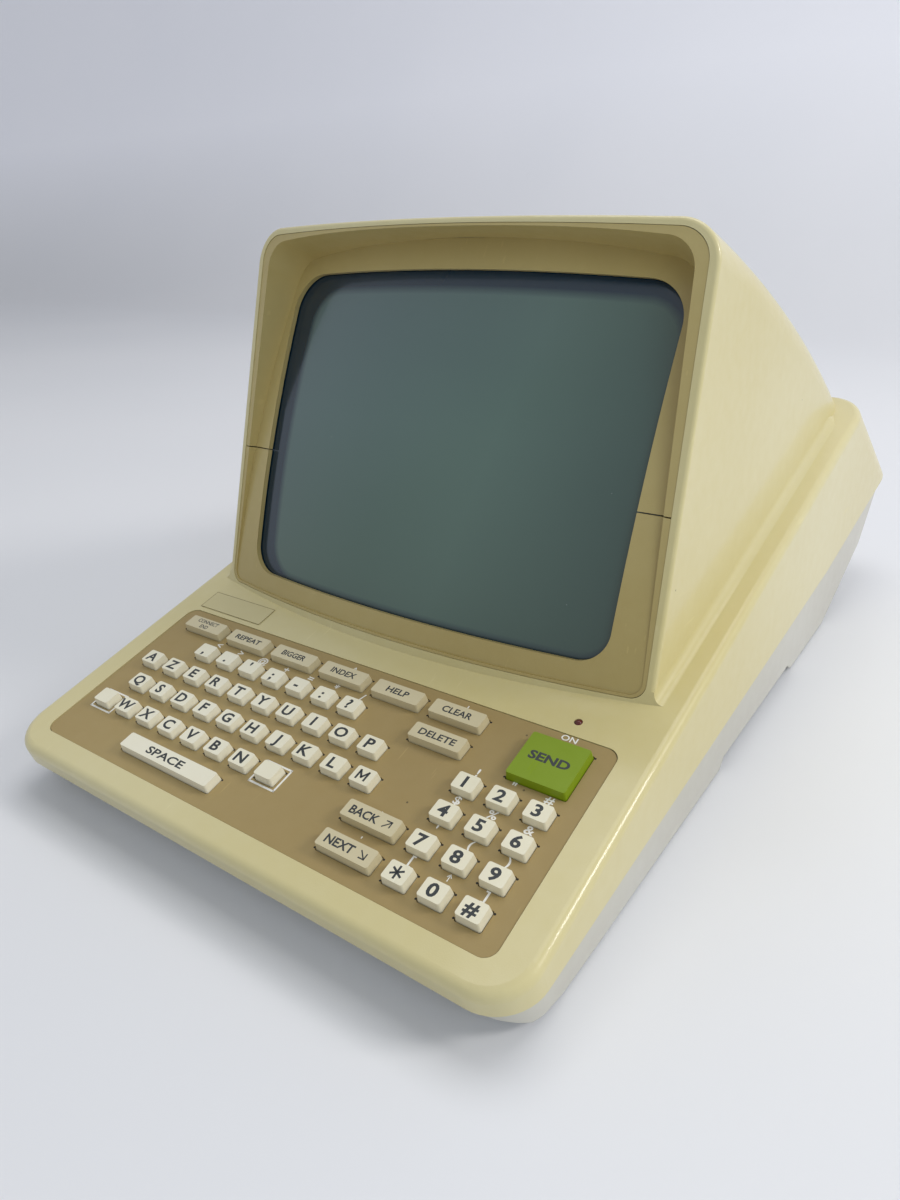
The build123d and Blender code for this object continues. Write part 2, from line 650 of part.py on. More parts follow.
def make_key_board():
    """Board under the key mat, wide enough at the rear to carry the status lamp."""
    board = plate(-PANEL_HALF_WIDTH, PANEL_HALF_WIDTH, PANEL_LOW_Y - 1, LAMP_Y + 4, 2,
                  BOARD_TOP - BOARD_THICK, BOARD_TOP)
    for x, y in board_posts():
        board = board - Pos(x, y, BOARD_TOP - BOARD_THICK - 1) * Cylinder(1.3, 5, align=ON_BASE)
    return board


def make_lower_case():
    """Light grey tray with posts, board pillars and seats for the feet."""
    tray = lower_form(0, 0, LIP_HEIGHT) - lower_form(TRAY_WALL, TRAY_WALL)
    inside = lower_form(TRAY_WALL / 2, TRAY_WALL / 2)
    for x, y in case_posts():
        tray = tray + (post(x, y, 0, POST_MEET, POST_RADIUS) & inside)
    for x, y in main_board_posts():
        tray = tray + (post(x, y, 0, MAIN_BOARD_HEIGHT, 3.5) & inside)
    for x, y in foot_places():
        pad = Pos(x, y, FOOT_STAND + 0.5) * Box(FOOT_WIDTH + 3, FOOT_LENGTH + 3, FOOT_THICK + 1.5,
                                                align=ON_BASE)
        tray = tray + TABLE * pad
    for x, y in foot_places():
        tray = tray - TABLE * (Pos(x, y, -1) * Box(FOOT_WIDTH, FOOT_LENGTH, FOOT_THICK + 1,
                                                   align=ON_BASE))
    for x, y in case_posts():
        tray = tray - post(x, y, -20, POST_MEET - 4, HEAD_RADIUS + 0.3)
        tray = tray - post(x, y, -20, POST_MEET + 1, SCREW_RADIUS + 0.3)
    for x, y in main_board_posts():
        tray = tray - post(x, y, MAIN_BOARD_HEIGHT - 8, MAIN_BOARD_HEIGHT + 1, 1.25)
    return tray


def make_feet():
    pads = [Pos(x, y, 0) * Box(FOOT_WIDTH - 0.3, FOOT_LENGTH - 0.3, FOOT_THICK, align=ON_BASE)
            for x, y in foot_places()]
    return Compound(children=[TABLE * pad for pad in pads])


def screw(x, y, seat, length, down=False):
    """A pan-head screw square to the table; its head lies under the seat, or over it."""
    turn = -1 if down else 1
    shaft = Cylinder(SCREW_RADIUS, length, align=ON_BASE)
    head = Pos(0, 0, -2.2) * Cylinder(HEAD_RADIUS, 2.2, align=ON_BASE)
    whole = shaft + head
    if down:
        whole = Rot(180, 0, 0) * whole
    return TABLE * (Pos(x, y, seat) * whole)


def make_case_screws():
    return Compound(children=[screw(x, y, POST_MEET - 4, 14) for x, y in case_posts()])


def rear_plane(x, drop, out=0.0):
    """Plane on the sloping rear wall; local Z points out of the case and local Y up the wall."""
    slope = radians(REAR_SLOPE)
    y = REAR_TOP_Y + drop / SLOPE_RUN + out * sin(slope)
    z = -drop + out * cos(slope)
    return Plane(origin=(x, y, z), x_dir=(-1, 0, 0), z_dir=(0, sin(slope), cos(slope)))


def rear_hole(x, radius):
    return rear_plane(x, REAR_ROW_DROP, -WALL - 6) * Cylinder(radius, WALL + 12, align=ON_BASE)


def make_gland(x, radius):
    """Grommet for a cord: a collar outside, a nut inside and an open bore."""
    place = rear_plane(x, REAR_ROW_DROP, -WALL - 4)
    body = Cylinder(radius + 2.4, WALL + 6.5, align=ON_BASE)
    collar = Pos(0, 0, WALL + 4) * Cylinder(radius + 4.4, 2.5, align=ON_BASE)
    nut = Pos(0, 0, 0.8) * extrude(RegularPolygon(radius + 5.4, 6), 3.2)
    bore = Cylinder(radius, WALL + 8, align=ON_BASE)
    return place * (body + collar + nut - bore)


def make_data_socket():
    """Round five-way socket for a peripheral, with its collar."""
    place = rear_plane(DATA_SOCKET_X, REAR_ROW_DROP, -WALL - 8)
    body = Cylinder(SOCKET_RADIUS + 1.2, WALL + 8 + 1.6, align=ON_BASE)
    collar = Pos(0, 0, WALL + 8) * Cylinder(SOCKET_RADIUS + 3, 1.6, align=ON_BASE)
    well = Pos(0, 0, 4.5) * Cylinder(SOCKET_RADIUS, WALL + 8, align=ON_BASE)
    back = Pos(0, 0, 0) * Box(18, 16, 3, align=ON_BASE)
    socket = body + collar + back - well
    for step in range(5):
        angle = radians(-90 + (step - 2) * 45)
        hole = Pos(4.8 * cos(angle), 4.8 * sin(angle), 1.5) * Cylinder(0.8, 4, align=ON_BASE)
        socket = socket - hole
    return place * socket


def rocker_box(grow, low, high):
    box = Pos(0, 0, low) * Box(ROCKER_WIDTH + 2 * grow, ROCKER_LENGTH + 2 * grow, high - low,
                               align=ON_BASE)
    return rear_plane(ROCKER_X, REAR_ROW_DROP) * box


def make_switch_body():
    """Frame and body of the power switch, open in front for the rocker."""
    body = rocker_box(FIT + 1.4, -14, 0) + rocker_box(FIT + 2.6, 0, 1.4)
    body = body - rocker_box(FIT, -11.5, 5)
    return body


def make_rocker():
    """Power rocker: two faces at a shallow angle over a round belly."""
    half = ROCKER_LENGTH / 2 - 0.4
    rise = 2.4
    dip = half * tan(radians(ROCKER_SWING))
    top = [(-half, rise + dip), (0, rise), (half, rise + dip)]
    bottom = ThreePointArc((0, half, -1.0), (0, 0, -5.5), (0, -half, -1.0))
    lines = Polyline([(0, -half, -1.0)] + [(0, y, z) for y, z in top] + [(0, half, -1.0)])
    solid = extrude(make_face(lines + bottom), ROCKER_WIDTH / 2, dir=(1, 0, 0), both=True)
    solid = Rot(-ROCKER_SWING, 0, 0) * Pos(0, 0, -rise + 0.2) * solid
    return rear_plane(ROCKER_X, REAR_ROW_DROP) * solid


def make_knob():
    """Ribbed brightness knob on its shaft."""
    place = rear_plane(KNOB_X, REAR_ROW_DROP, FIT)
    knob = Cylinder(KNOB_RADIUS, 7, align=ON_BASE)
    for step in range(18):
        notch = Rot(0, 0, 20 * step) * Pos(KNOB_RADIUS + 0.35, 0, 1.5) * Cylinder(0.9, 6, align=ON_BASE)
        knob = knob - notch
    shaft = Pos(0, 0, -WALL - 6) * Cylinder(3, WALL + 6.5, align=ON_BASE)
    return place * (knob + shaft)


def make_brightness_control():
    """Body of the brightness control, its bush through the case wall."""
    place = rear_plane(KNOB_X, REAR_ROW_DROP, -WALL - 11)
    body = Cylinder(8, 11, align=ON_BASE) + Pos(0, 0, 11) * Cylinder(4.4, WALL, align=ON_BASE)
    body = body - Pos(0, 0, 4.5) * Cylinder(3.05, WALL + 10, align=ON_BASE)
    return place * body


def make_main_board():
    board = Pos((MAIN_LOW_X + MAIN_HIGH_X) / 2, (MAIN_LOW_Y + MAIN_HIGH_Y) / 2, MAIN_BOARD_HEIGHT) * Box(
        MAIN_HIGH_X - MAIN_LOW_X, MAIN_HIGH_Y - MAIN_LOW_Y, BOARD_THICK, align=ON_BASE)
    for x, y in main_board_posts():
        board = board - Pos(x, y, MAIN_BOARD_HEIGHT - 1) * Cylinder(1.6, 5, align=ON_BASE)
    return TABLE * board


def on_board(x, y, shape):
    return TABLE * (Pos(x, y, MAIN_BOARD_HEIGHT + BOARD_THICK) * shape)


def make_board_screws():
    """Screws of the main board and of the key board."""
    seat = MAIN_BOARD_HEIGHT + BOARD_THICK
    head = Cylinder(2.6, 1.8, align=ON_BASE)
    main = head + Pos(0, 0, -8) * Cylinder(1.2, 8, align=ON_BASE)
    screws = [TABLE * (Pos(x, y, seat) * main) for x, y in main_board_posts()]
    under = BOARD_TOP - BOARD_THICK
    key = Pos(0, 0, -1.6) * Cylinder(2.2, 1.6, align=ON_BASE) + Cylinder(1.0, 4.5, align=ON_BASE)
    screws = screws + [Pos(x, y, under) * key for x, y in board_posts()]
    return Compound(children=screws)


def make_board_parts():
    """The taller parts on the main board: capacitors, chips, relay and connectors."""
    can = Cylinder(8, 28, align=ON_BASE)
    small_can = Cylinder(5, 14, align=ON_BASE)
    chip = Pos(0, 0, 0) * Box(15, 38, 4.2, align=ON_BASE)
    small_chip = Box(7.5, 20, 4.2, align=ON_BASE)
    relay = Box(16, 22, 14, align=ON_BASE)
    plug_row = Box(30, 6, 9, align=ON_BASE)
    places = [(-24, 240, can), (-24, 218, can), (-26, 196, small_can), (-26, 180, small_can),
              (10, 140, chip), (35, 140, chip), (60, 138, small_chip), (75, 138, small_chip),
              (88, 150, relay), (-8, 118, plug_row), (40, 250, plug_row)]
    return Compound(children=[on_board(x, y, shape) for x, y, shape in places])


def make_line_transformer():
    """High-voltage transformer: a potted body on a square core."""
    body = Cylinder(15, 40, align=ON_BASE) + Pos(0, -10, 0) * Box(26, 24, 34, align=ON_BASE)
    frame = Box(9, 48, 40, align=ON_BASE) - Pos(0, 0, 9) * Box(12, 33, 22, align=ON_BASE)
    return on_board(78, 222, body + frame)


def make_heat_sink():
    """Finned aluminium heat sink for the power transistors."""
    sink = Box(64, 3, 32, align=ON_BASE)
    for step in range(9):
        sink = sink + Pos(-30 + 7.5 * step, -5.5, 0) * Box(1.8, 10, 32, align=ON_BASE)
    return on_board(20, 226, sink)


def make_sounder():
    shell = Cylinder(12, 9, align=ON_BASE) - Pos(0, 0, 7.5) * Cylinder(2.5, 4, align=ON_BASE)
    return on_board(62, 172, shell)


def make_mains_transformer():
    """Laminated mains transformer with its winding, standing on the tray."""
    floor = FOOT_STAND + TRAY_WALL
    core = Box(54, 30, 46, align=ON_BASE)
    winding = Pos(0, 0, 8) * Box(36, 48, 30, align=ON_BASE)
    flange = Box(58, 14, 2, align=ON_BASE)
    return TABLE * (Pos(TRANSFORMER_X, TRANSFORMER_Y, floor) * (core + winding + flange))


def make_lamp():
    """Status lamp: a small round-topped lens with a collar that stands on the key board."""
    dome = Sphere(LAMP_RADIUS) & Pos(0, 0, 0) * Box(5, 5, 5, align=ON_BASE)
    stem = Pos(0, 0, BOARD_TOP) * Cylinder(LAMP_RADIUS, -BOARD_TOP - 0.2, align=ON_BASE)
    collar = Pos(0, 0, BOARD_TOP) * Cylinder(LAMP_RADIUS + 0.8, -BOARD_TOP - WALL - FIT, align=ON_BASE)
    return Pos(LAMP_X, LAMP_Y, 0) * (Pos(0, 0, -0.9) * dome + stem + collar)


def make_upper_case():
    """Deck and hood as one moulded shell, with its openings and screw posts."""
    shell = base_form(0, -DEEP) + hood_form(0) + hood_foot()
    points = [(-200, 200), (-200, edge_z(FRONT_Y)), (FRONT_Y, edge_z(FRONT_Y)),
              (EDGE_BEND_Y, edge_z(EDGE_BEND_Y)), (500, edge_z(500)), (500, 200)]
    shell = shell & side_prism(points, 200)
    shell = shell - base_form(WALL, -DEEP) - hood_form(WALL) - mouth_prism(0, -30)
    half = PANEL_HALF_WIDTH
    shell = shell - plate(-half, half, PANEL_LOW_Y, PANEL_HIGH_Y, PANEL_CORNER, -WALL - 1, 1)
    shell = shell - Pos(LAMP_X, LAMP_Y, -WALL - 1) * Cylinder(LAMP_RADIUS + 0.1, WALL + 2, align=ON_BASE)
    columns = [post(x, y, POST_MEET, 160, POST_RADIUS) for x, y in case_posts()]
    for column in columns:
        shell = shell + (column & base_form(WALL / 2, -DEEP))
    for x, y in case_posts():
        shell = shell - post(x, y, POST_MEET - 1, POST_MEET + 12, SCREW_RADIUS + 0.05)
    shell = shell + tube_posts() - tube_screw_holes()
    shell = shell - rear_hole(MAINS_X, MAINS_RADIUS + 2.6) - rear_hole(LINE_X, LINE_RADIUS + 2.6)
    shell = shell - rear_hole(DATA_SOCKET_X, SOCKET_RADIUS + 1.4) - rear_hole(KNOB_X, 4.6)
    shell = shell - rocker_box(FIT + 1.6, -WALL - 6, 6)
    for step in range(VENT_COUNT):
        for side in (-1, 1):
            shell = shell - vent_slot(side * (VENT_LENGTH / 2 + 5), step)
    return shell


def vent_slot(x, step):
    """One slot through the hood's back, square to the curve where it lies."""
    slope = radians(REAR_SLOPE)
    foot_y = rear_y(HOOD_BACK_FOOT, 0)
    centre_y = foot_y - HOOD_BACK_RADIUS * sin(slope)
    centre_z = HOOD_BACK_FOOT - HOOD_BACK_RADIUS * cos(slope)
    turn = slope - radians(VENT_TOP_ANGLE) + step * VENT_PITCH / HOOD_BACK_RADIUS
    reach = HOOD_BACK_RADIUS - WALL - 4
    place = Plane(origin=(x, centre_y + reach * sin(turn), centre_z + reach * cos(turn)),
                  x_dir=(1, 0, 0), z_dir=(0, sin(turn), cos(turn)))
    return extrude(place * SlotOverall(VENT_LENGTH, VENT_WIDTH), WALL + 8)


def write(name, shape):
    """Tilt the deck up, stand the piece over the origin and write it."""
    placed = TO_TABLE * shape
    if isinstance(placed, (list, ShapeList)):
        placed = Compound(children=list(placed))
    placed.label = name
    export_step(placed, "parts/" + name + ".step")
    print(name, len(placed.solids()), round(placed.volume), "mm3")


keys = key_list()
tube = make_picture_tube()
surround_upper, surround_lower = make_surrounds()
nodes = {
    "upper_case": make_upper_case(),
    "lower_case": make_lower_case(),
    "rubber_feet": make_feet(),
    "case_screws": make_case_screws(),
    "screen_surround_upper": surround_upper,
    "screen_surround_lower": surround_lower,
    "picture_tube": tube,
    "tube_band": make_tube_band(),
    "tube_screws": make_tube_screws(),
    "deflection_yoke": make_yoke(),
    "anode_cap": make_anode_cap(tube),
    "tube_socket_board": make_socket_board(),
    "keyboard_panel": make_panel(keys),
    "keyboard_mat": make_key_mat(),
    "keyboard_board": make_key_board(),
    "status_lamp": make_lamp(),
    "main_board": make_main_board(),
    "board_parts": make_board_parts(),
    "board_screws": make_board_screws(),
    "line_transformer": make_line_transformer(),
    "mains_transformer": make_mains_transformer(),
    "heat_sink": make_heat_sink(),
    "sounder": make_sounder(),
    "power_switch": make_switch_body(),
    "power_rocker": make_rocker(),
    "brightness_control": make_brightness_control(),
    "brightness_knob": make_knob(),
    "data_socket": make_data_socket(),
    "mains_gland": make_gland(MAINS_X, MAINS_RADIUS),
    "line_gland": make_gland(LINE_X, LINE_RADIUS),
}
for key in keys:
    nodes.setdefault(key[0], []).append(make_key(key))

case = Rot(DECK_SLOPE, 0, 0) * nodes["upper_case"]
box = case.bounding_box()
foot_height = -TABLE_DROP * cos(radians(DECK_SLOPE))
TO_TABLE = Pos(0, -(box.min.Y + box.max.Y) / 2, -foot_height) * Rot(DECK_SLOPE, 0, 0)
print("deck origin stands at", TO_TABLE.position, "slope", DECK_SLOPE)
for name, shape in nodes.items():
    if isinstance(shape, list):
        shape = Compound(children=shape)
    write(name, shape)
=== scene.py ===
# %% [markdown]
# # Dressing a videotex terminal
# The solids of the terminal come packed and finished, in metres, and they never move here.
# This lesson gives each of them its finish, prints the marks on its keys and its panel, and
# sets up a camera, a floor and soft light.

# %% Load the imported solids
import bpy
import json
import math
from mathutils import Matrix, Vector


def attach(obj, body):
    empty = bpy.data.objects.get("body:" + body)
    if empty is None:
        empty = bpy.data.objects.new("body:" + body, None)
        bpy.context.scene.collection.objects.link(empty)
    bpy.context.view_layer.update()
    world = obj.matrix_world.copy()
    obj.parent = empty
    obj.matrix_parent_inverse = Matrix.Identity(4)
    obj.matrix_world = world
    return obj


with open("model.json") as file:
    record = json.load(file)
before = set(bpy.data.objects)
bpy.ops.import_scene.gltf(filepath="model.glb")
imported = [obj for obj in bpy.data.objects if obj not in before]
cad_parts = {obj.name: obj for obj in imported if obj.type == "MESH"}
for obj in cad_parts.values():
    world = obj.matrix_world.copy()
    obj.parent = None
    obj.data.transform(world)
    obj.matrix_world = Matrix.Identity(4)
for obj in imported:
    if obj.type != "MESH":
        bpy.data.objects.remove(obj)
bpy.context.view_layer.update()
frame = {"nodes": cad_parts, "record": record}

# %% [markdown]
# ## The deck as a drawing board
# The keys stand on a deck that slopes up to the rear. It is far easier to draw flat, with X along
# the key rows and Y up the deck, and to tilt each piece afterwards. One matrix does that. A
# piece's object stays at the origin and its place goes into its mesh, as the solids do it.

# %% The deck's slope and origin
MM = 0.001
DECK_SLOPE = math.radians(15.2)
DECK_ORIGIN = Vector((0.0, -168.214, 38.8902)) * MM
DECK = Matrix.Translation(DECK_ORIGIN) @ Matrix.Rotation(DECK_SLOPE, 4, "X")
KEY_TOP = 3.1 * MM
PANEL_TOP = -0.3 * MM
INK = 0.03 * MM
print("the deck's corner stands at", tuple(round(x, 4) for x in DECK_ORIGIN))


def clear_selection():
    bpy.ops.object.select_all(action="DESELECT")


# %% [markdown]
# ## Camera
# The photograph was taken from close by, from the right and above, with a wide lens. The place
# and the three turns were solved from the grid of the keys, so a solid lands on its picture.

# %% Camera at the photograph's place
CAMERA_PLACE = (0.208104, -0.356970, 0.217216)
CAMERA_TURNS = (65.5277, 1.9949, 35.4913)
LENS = 25.572
lens = bpy.data.cameras.new("photograph")
lens.lens = LENS
lens.sensor_width = 36.0
lens.clip_start = 0.01
camera = bpy.data.objects.new("photograph", lens)
camera.location = CAMERA_PLACE
camera.rotation_euler = [math.radians(turn) for turn in CAMERA_TURNS]
bpy.context.scene.collection.objects.link(camera)
bpy.context.scene.camera = camera
print("camera height over the floor:", CAMERA_PLACE[2])

# %% [markdown]
# ## Shader maths as plain Python
# A material is a tree of nodes, and a tree drawn with mouse clicks is hard to write down. Here an
# output socket is wrapped in a small class, so that the signs of Python add the Math nodes. All
# other nodes come from one method that takes the type, the settings and the sockets.


# %% A socket that knows arithmetic
class Wire:
    def __init__(self, finish, socket):
        self.finish = finish
        self.socket = socket

    def maths(self, operation, *others):
        return self.finish.node("ShaderNodeMath", {"operation": operation}, [self, *others])

    def __add__(self, other):
        return self.maths("ADD", other)

    def __sub__(self, other):
        return self.maths("SUBTRACT", other)

    def __mul__(self, other):
        return self.maths("MULTIPLY", other)

    def __lt__(self, other):
        return self.maths("LESS_THAN", other)

    def __abs__(self):
        return self.maths("ABSOLUTE")


# %% A material under construction
class Finish:
    def __init__(self, name, roughness=0.5, metallic=0.0):
        self.material = bpy.data.materials.new(name)
        self.material.use_nodes = True
        self.tree = self.material.node_tree
        self.shader = self.tree.nodes["Principled BSDF"]
        self.set("Roughness", roughness)
        self.set("Metallic", metallic)
        self.place = self.node("ShaderNodeTexCoord", {}, {}, output="Object")

    def connect(self, socket, value):
        if isinstance(value, Wire):
            self.tree.links.new(value.socket, socket)
        else:
            socket.default_value = value

    def set(self, socket, value):
        self.connect(self.shader.inputs[socket], value)

    def node(self, kind, settings, sockets, output=0):
        made = self.tree.nodes.new(kind)
        for name, value in settings.items():
            setattr(made, name, value)
        pairs = sockets.items() if isinstance(sockets, dict) else enumerate(sockets)
        for name, value in pairs:
            self.connect(made.inputs[name], value)
        return Wire(self, made.outputs[output])

    def blend(self, share, first, second):
        settings = {"data_type": "RGBA"}
        return self.node("ShaderNodeMix", settings, {0: share, 6: first, 7: second}, output=2)

    def spread(self, value, low, high):
        """Stretches a value so that low becomes 0 and high becomes 1, and stays between them."""
        sockets = {"Value": value, "From Min": low, "From Max": high}
        return self.node("ShaderNodeMapRange", {}, sockets)

    def shaped(self, size, stretch):
        scale = [share / size for share in stretch]
        return self.node("ShaderNodeMapping", {}, {"Vector": self.place, "Scale": scale})

    def noise(self, size, detail=2.0, stretch=(1, 1, 1)):
        """Cloudy noise whose clouds are about this size in metres."""
        sockets = {"Vector": self.shaped(size, stretch), "Scale": 1.0, "Detail": detail}
        return self.node("ShaderNodeTexNoise", {}, sockets)

    def dots(self, size, radius, share):
        """Small dots, one to a cell of this size, in a share of the cells."""
        sockets = {"Vector": self.shaped(size, (1, 1, 1)), "Scale": 1.0}
        cells = self.node("ShaderNodeTexVoronoi", {}, sockets, output="Distance")
        tone = self.node("ShaderNodeTexVoronoi", {}, sockets, output="Color")
        red = self.node("ShaderNodeSeparateColor", {}, [tone])
        return (cells < radius / size) * (red < share)

    def axis(self, number):
        """One coordinate of the place on the surface, in metres."""
        return self.node("ShaderNodeSeparateXYZ", {}, [self.place], output=number)

    def bump(self, height, depth, strength=1.0):
        sockets = {"Height": height, "Distance": depth, "Strength": strength}
        self.set("Normal", self.node("ShaderNodeBump", {}, sockets, output="Normal"))


def tone(red, green, blue):
    """A colour as a screen shows it, 0 to 255, turned into the light that it stands for."""
    steps = [part / 255 for part in (red, green, blue)]
    light = [part / 12.92 if part <= 0.04045 else ((part + 0.055) / 1.055) ** 2.4 for part in steps]
    return (*light, 1.0)


print("a middle grey is", round(tone(128, 128, 128)[0], 3))

# %% [markdown]
# ## Old moulded plastic
# The case is moulded ABS. New, it was a cool beige, and light has turned it yellow, unevenly. A
# fine spark-eroded grain breaks up its gloss. Years of use left small dark specks, and faint
# scratches along the hand's way. One function makes all of this, and each plastic gets its own
# colours and its own amount of wear. The tray also gets a dark line where it goes up into the
# case: painted shade, for the shadow that the case's edge casts into that gap.


# %% The edge of the case
# Heights on the deck's own axes, in mm: the edge drops from the front to a bend, then less.
EDGE_FRONT = (-57.2, -9.3)
EDGE_BEND = (240.0, -60.8)
EDGE_REAR = (384.1, -77.0)
SHADE_FADE = (-3.4 * MM, -2.4 * MM)


def painted_seam_shade(made):
    """1 in the few millimetres of the tray that the case's edge keeps in shade, else 0."""
    sine, cosine = math.sin(DECK_SLOPE), math.cos(DECK_SLOPE)
    origin = DECK_ORIGIN
    along = made.axis(1) * cosine + made.axis(2) * sine - (origin.y * cosine + origin.z * sine)
    over = made.axis(2) * cosine - made.axis(1) * sine - (origin.z * cosine - origin.y * sine)
    lines = []
    for (start, high), (end, low) in ((EDGE_FRONT, EDGE_BEND), (EDGE_BEND, EDGE_REAR)):
        slope = (low - high) / (end - start)
        lines.append(along * slope + (high - slope * start) * MM)
    edge = lines[0].maths("MAXIMUM", lines[1])
    return made.spread(over - edge, *SHADE_FADE)


# %% Moulded plastic
def plastic(name, color, aged, roughness=0.42, grain=0.45, specks=0.05, scratches=0.5,
            painted_shade=None, coat=(0.22, 0.14)):
    """Moulded plastic. The coat is the weight and the roughness of its polished skin."""
    made = Finish(name)
    made.set("Coat Weight", coat[0])
    made.set("Coat Roughness", coat[1])
    drift = made.spread(made.noise(0.16, 1.0), 0.35, 0.65)
    fine = made.noise(0.006, 3.0)
    base = made.blend(drift * 0.7 + fine * 0.3, color, aged)
    streaks = made.noise(0.0016, 1.0, (1.0, 0.05, 0.3))
    scuff = made.spread(streaks, 0.70, 0.76) * made.spread(made.noise(0.03, 1.0), 0.52, 0.62)
    paler = tuple(min(1.0, part * 1.35) for part in color[:3]) + (1.0,)
    base = made.blend(scuff * (0.45 * scratches), base, paler)
    dark = tuple(part * 0.22 for part in aged[:3]) + (1.0,)
    spots = made.dots(0.011, 0.00042, specks)
    base = made.blend(spots * 0.8, base, dark)
    # Painted shade: the tray goes dark where the case's edge shades it.
    if painted_shade:
        base = made.blend(painted_shade(made) * 0.85, base, tone(44, 42, 38))
    made.set("Base Color", base)
    made.set("Roughness", fine * 0.14 + (roughness - 0.07) + scuff * 0.12)
    made.bump(made.noise(grain * MM, 2.0) - scuff * 0.3, 0.05 * MM, 0.5)
    return made


case_finish = plastic("aged_beige_plastic", tone(214, 204, 157), tone(204, 190, 130),
                      roughness=0.4, specks=0.08, coat=(0.4, 0.1))
# The tray's dark line under the case is painted shade.
tray_finish = plastic("pale_grey_plastic", tone(202, 199, 188), tone(188, 184, 170), painted_shade=painted_seam_shade)
surround_finish = plastic("tan_plastic", tone(190, 173, 116), tone(174, 154, 92), 0.42)
print("plastics so far:", len(bpy.data.materials))

# %% [markdown]
# ## Key plastics and the panel
# The key caps are harder and smoother than the case, and their tops are polished by fingers. The
# panel is a brown printed plate with a faint satin grain.

# %% Keys and panel
cream_finish = plastic("cream_key_plastic", tone(240, 235, 213), tone(231, 223, 192),
                       roughness=0.36, grain=0.3, specks=0.02)
tan_finish = plastic("tan_key_plastic", tone(214, 203, 168), tone(203, 190, 151),
                     roughness=0.38, grain=0.3, specks=0.02)
green_finish = plastic("green_key_plastic", tone(132, 156, 0), tone(120, 144, 0),
                       roughness=0.5, grain=0.3, specks=0.0, scratches=0.2, coat=(0.0, 0.14))
panel_finish = plastic("brown_panel", tone(166, 145, 96), tone(154, 131, 80),
                       roughness=0.55, grain=0.35, specks=0.06, scratches=0.8, coat=(0.0, 0.14))
print("finishes so far:", len(bpy.data.materials))

# %% [markdown]
# ## The screen
# A picture tube has a grey phosphor behind thick glass. Where the phosphor ends, the glass is
# black, with a blue cast. The border is drawn from the distance to a rounded rectangle, measured
# across the tube and up the hood's front, which leans back. The glass is thick, so the border
# looks wider on the side that the eye is farther from. The rectangle is set a little to the right
# and low for that. Over the grey lie painted reflection and painted shade: the upper left is paler
# and bluer, and the right and the bottom are darker.

# %% Tube glass with its dark border
SCREEN_LEAN = math.radians(31.1 - 15.2)
HOOD_FOOT = DECK @ Vector((0.0, 63.7 * MM, 0.0))
PHOSPHOR_MIDDLE = (6.2 * MM, 74.9 * MM)
PHOSPHOR_HALF = (89.6 * MM, 67.4 * MM)
PHOSPHOR_CORNER = 15.0 * MM
PHOSPHOR_CROWN = 1.8 * MM
BORDER_FADE = (-3.0 * MM, 0.6 * MM)
print("the screen leans back by", round(math.degrees(SCREEN_LEAN), 1), "degrees from upright")


def screen_glass():
    made = Finish("screen_glass", 0.16)
    made.set("Coat Weight", 0.3)
    made.set("Coat Roughness", 0.04)
    lean_y, lean_z = math.sin(SCREEN_LEAN), math.cos(SCREEN_LEAN)
    foot = HOOD_FOOT.y * lean_y + HOOD_FOOT.z * lean_z
    up = made.axis(1) * lean_y + made.axis(2) * lean_z - foot
    across = made.axis(0)
    away_x, away_y = across - PHOSPHOR_MIDDLE[0], up - PHOSPHOR_MIDDLE[1]
    crown_x = away_y * away_y * (PHOSPHOR_CROWN / PHOSPHOR_HALF[1] ** 2)
    crown_y = away_x * away_x * (PHOSPHOR_CROWN / PHOSPHOR_HALF[0] ** 2)
    out_x = abs(away_x) + crown_x - (PHOSPHOR_HALF[0] - PHOSPHOR_CORNER)
    out_y = abs(away_y) + crown_y - (PHOSPHOR_HALF[1] - PHOSPHOR_CORNER)
    far_x, far_y = out_x.maths("MAXIMUM", 0.0), out_y.maths("MAXIMUM", 0.0)
    distance = (far_x * far_x + far_y * far_y).maths("SQRT") - PHOSPHOR_CORNER
    border = made.spread(distance, *BORDER_FADE)
    cloud = made.spread(made.noise(0.09, 1.0), 0.3, 0.7)
    grey = made.blend(cloud, tone(84, 111, 101), tone(92, 118, 107))
    # Painted reflection: the upper left of the glass is paler and bluer.
    painted_reflection_upper_left = made.spread(up - across, 0.06, 0.20)
    grey = made.blend(painted_reflection_upper_left * 0.6, grey, tone(84, 104, 114))
    # Painted shade: the right of the glass is darker.
    painted_shade_right = made.spread(across - up * 0.25, 0.01, 0.09)
    grey = made.blend(painted_shade_right * 0.9, grey, tone(48, 68, 62))
    # Painted shade: the glass is darker towards the bottom.
    low = made.spread(up * -1.0, -0.085, -0.005)
    grey = made.blend(low * 0.4, grey, tone(56, 78, 66))
    dust = made.dots(0.009, 0.00022, 0.12)
    base = made.blend(border, grey, tone(8, 40, 58))
    made.set("Base Color", made.blend(dust * 0.6, base, tone(120, 132, 124)))
    made.set("Roughness", cloud * 0.05 + 0.15 + dust * 0.3)
    made.bump(made.noise(0.0012), 0.01 * MM, 0.2)
    return made


glass_finish = screen_glass()

# %% [markdown]
# ## Finishes for what is inside and behind
# Rubber, bare metal, wound copper and a circuit board each need only a few nodes, but none of
# them is one flat colour: rubber is dusty, metal has a brushed grain, and a board has its weave.


# %% Metal, rubber and board
def metal(name, color, roughness, stretch):
    made = Finish(name, roughness, 1.0)
    brushed = made.noise(0.0008, 2.0, stretch)
    darker = tuple(part * 0.7 for part in color[:3]) + (1.0,)
    made.set("Base Color", made.blend(brushed, darker, color))
    made.set("Roughness", brushed * 0.2 + (roughness - 0.1))
    made.bump(brushed, 0.02 * MM, 0.3)
    return made


